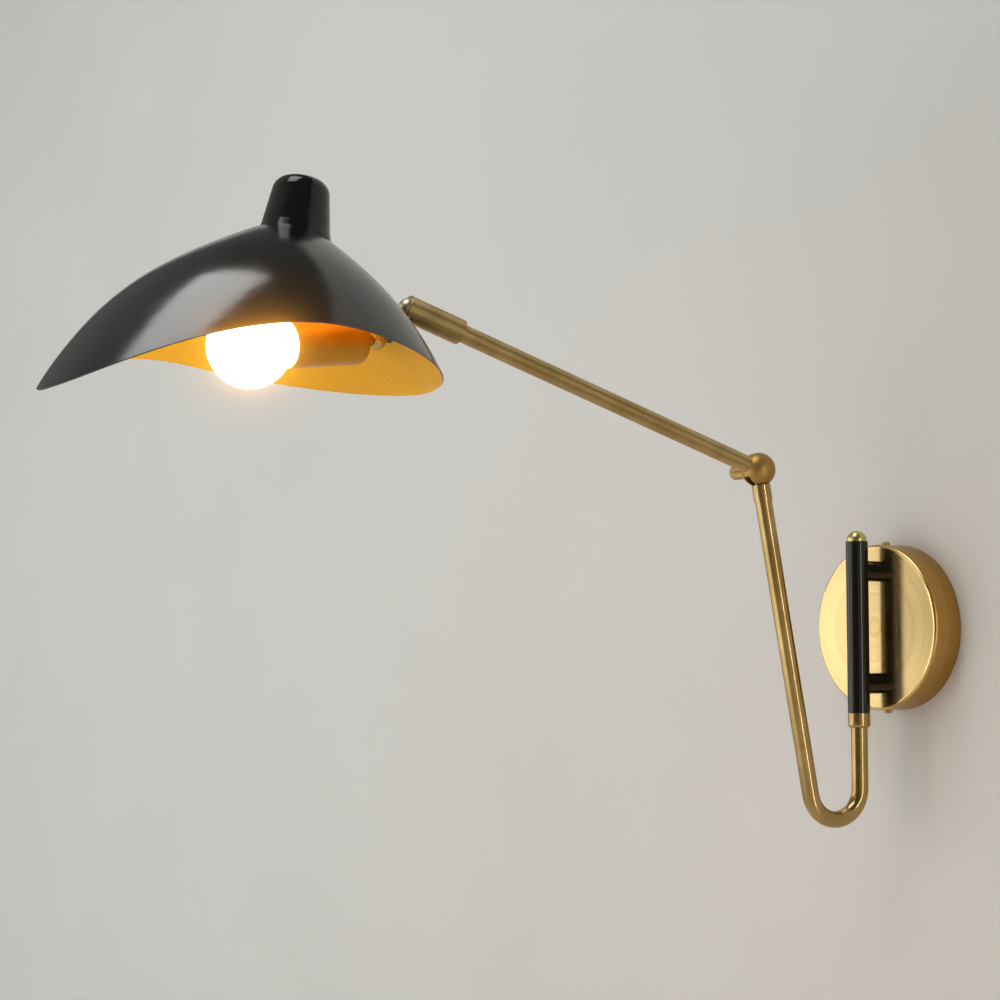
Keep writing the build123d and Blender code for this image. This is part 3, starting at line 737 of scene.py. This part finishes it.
shade_middle = middle("shade")
soft_light(
    "overhead", place=shade_middle + Vector((-0.026, -0.793, 2.6)), target=shade_middle, across=(0.87, 0.5, 0),
    width=1.3, height=2.08, radiance=3.7, colour=(1, 1, 0.99),
)
soft_light(
    "front_fill", place=(-0.65, -1.7, 0.15), target=(-0.65, 0, 0.15), across=(1, 0, 0),
    width=1.2, height=1.5, radiance=1.45, colour=(0.97, 1, 0.99),
)
soft_light(
    "left_key", place=(-2.6, -1.5, 0.2), target=(0, 0, 0), across=(1, -1.7, 0),
    width=1.57, height=2, radiance=1.35, colour=(1, 0.99, 0.95),
)
soft_light(
    "low_fill", place=(-1.83, -2.38, -0.5), target=(0, 0, 0), across=(1, -0.77, 0),
    width=0.82, height=1, radiance=0.6, colour=(1, 0.98, 0.93),
)
soft_light(
    "high_fill", place=(-1.83, -2.38, 0.6), target=(0, 0, 0), across=(1, -0.77, 0),
    width=0.82, height=1.2, radiance=0.12, colour=(1, 0.98, 0.93),
)
soft_light(
    "right_strip", place=(2.4, -0.2, 0), target=(0, -0.1, 0), across=(0, 1, 0),
    width=0.25, height=2.2, radiance=6, colour=(1, 0.97, 0.93),
)
soft_light(
    "warm_bounce", place=(2.1, -1.05, -0.2), target=(0, 0, 0), across=(1, 2, 0),
    width=1.1, height=1.2, radiance=0.4, colour=(1, 0.72, 0.48),
)
lamp_spill = soft_light(
    "lamp_spill", place=(-0.05, -0.75, -0.1), target=(0.05, 0, -0.1), across=(1, 0, 0),
    width=0.4, height=0.4, radiance=0.8, colour=(1, 0.42, 0.17),
)
lamp_spill.visible_glossy = False
floor_light("near_wash", near_strip_edge, 0, radiance=0.17)
floor_light("far_wash", -floor_reach, near_strip_edge, radiance=0.45)
floor_light("back_wash", 0, floor_reach, radiance=0.55)
soft_light(
    "behind_wall", place=(0, 1.5, 0.4), target=(0, 0, 0), across=(1, 0, 0),
    width=1.2, height=1.2, radiance=1.5, colour=(1, 1, 1),
)

# Dim room with a brighter side, which lights the lamp and is mirrored in it, behind a plain pale backdrop
world = bpy.data.worlds.new("room")
bpy.context.scene.world = world
world.use_nodes = True
sky = world.node_tree
sky_way = add_node(sky, "TexCoord").outputs["Generated"]
nearness = add_node(sky, "VectorMath", {0: sky_way, 1: bright_way}, operation="DOT_PRODUCT").outputs["Value"]
sky_range = {"Value": nearness, "From Min": 0.1, "From Max": 0.95}
lightness = add_node(sky, "MapRange", sky_range).outputs["Result"]
room = ramp(sky, lightness, (0, dark_room), (0.6, dim_room), (1, bright_room))
seen = add_node(sky, "LightPath").outputs["Is Camera Ray"]
surroundings = mix_colours(sky, seen, room, backdrop_colour)
sky.links.new(surroundings, sky.nodes["Background"].inputs["Color"])

camera_data = bpy.data.cameras.new("camera")
camera_data.lens = camera_lens
camera_data.sensor_width = camera_sensor
camera = bpy.data.objects.new("camera", camera_data)
camera.location = camera_place
camera.rotation_euler = camera_forward.to_track_quat("-Z", "Y").to_euler()
bpy.context.scene.collection.objects.link(camera)
bpy.context.scene.camera = camera
bpy.context.scene.view_settings.view_transform = "Standard"

# Bloom of the lit bulb in the lens
bpy.context.scene.use_nodes = True
lens = bpy.context.scene.node_tree
bloom = lens.nodes.new("CompositorNodeGlare")
bloom.glare_type = "BLOOM"
bloom.inputs["Threshold"].default_value = bloom_threshold
bloom.inputs["Strength"].default_value = bloom_strength
bloom.inputs["Size"].default_value = bloom_size
bloom.inputs["Tint"].default_value = bloom_tint
lens.links.new(lens.nodes["Render Layers"].outputs["Image"], bloom.inputs["Image"])
lens.links.new(bloom.outputs["Image"], lens.nodes["Composite"].inputs["Image"])
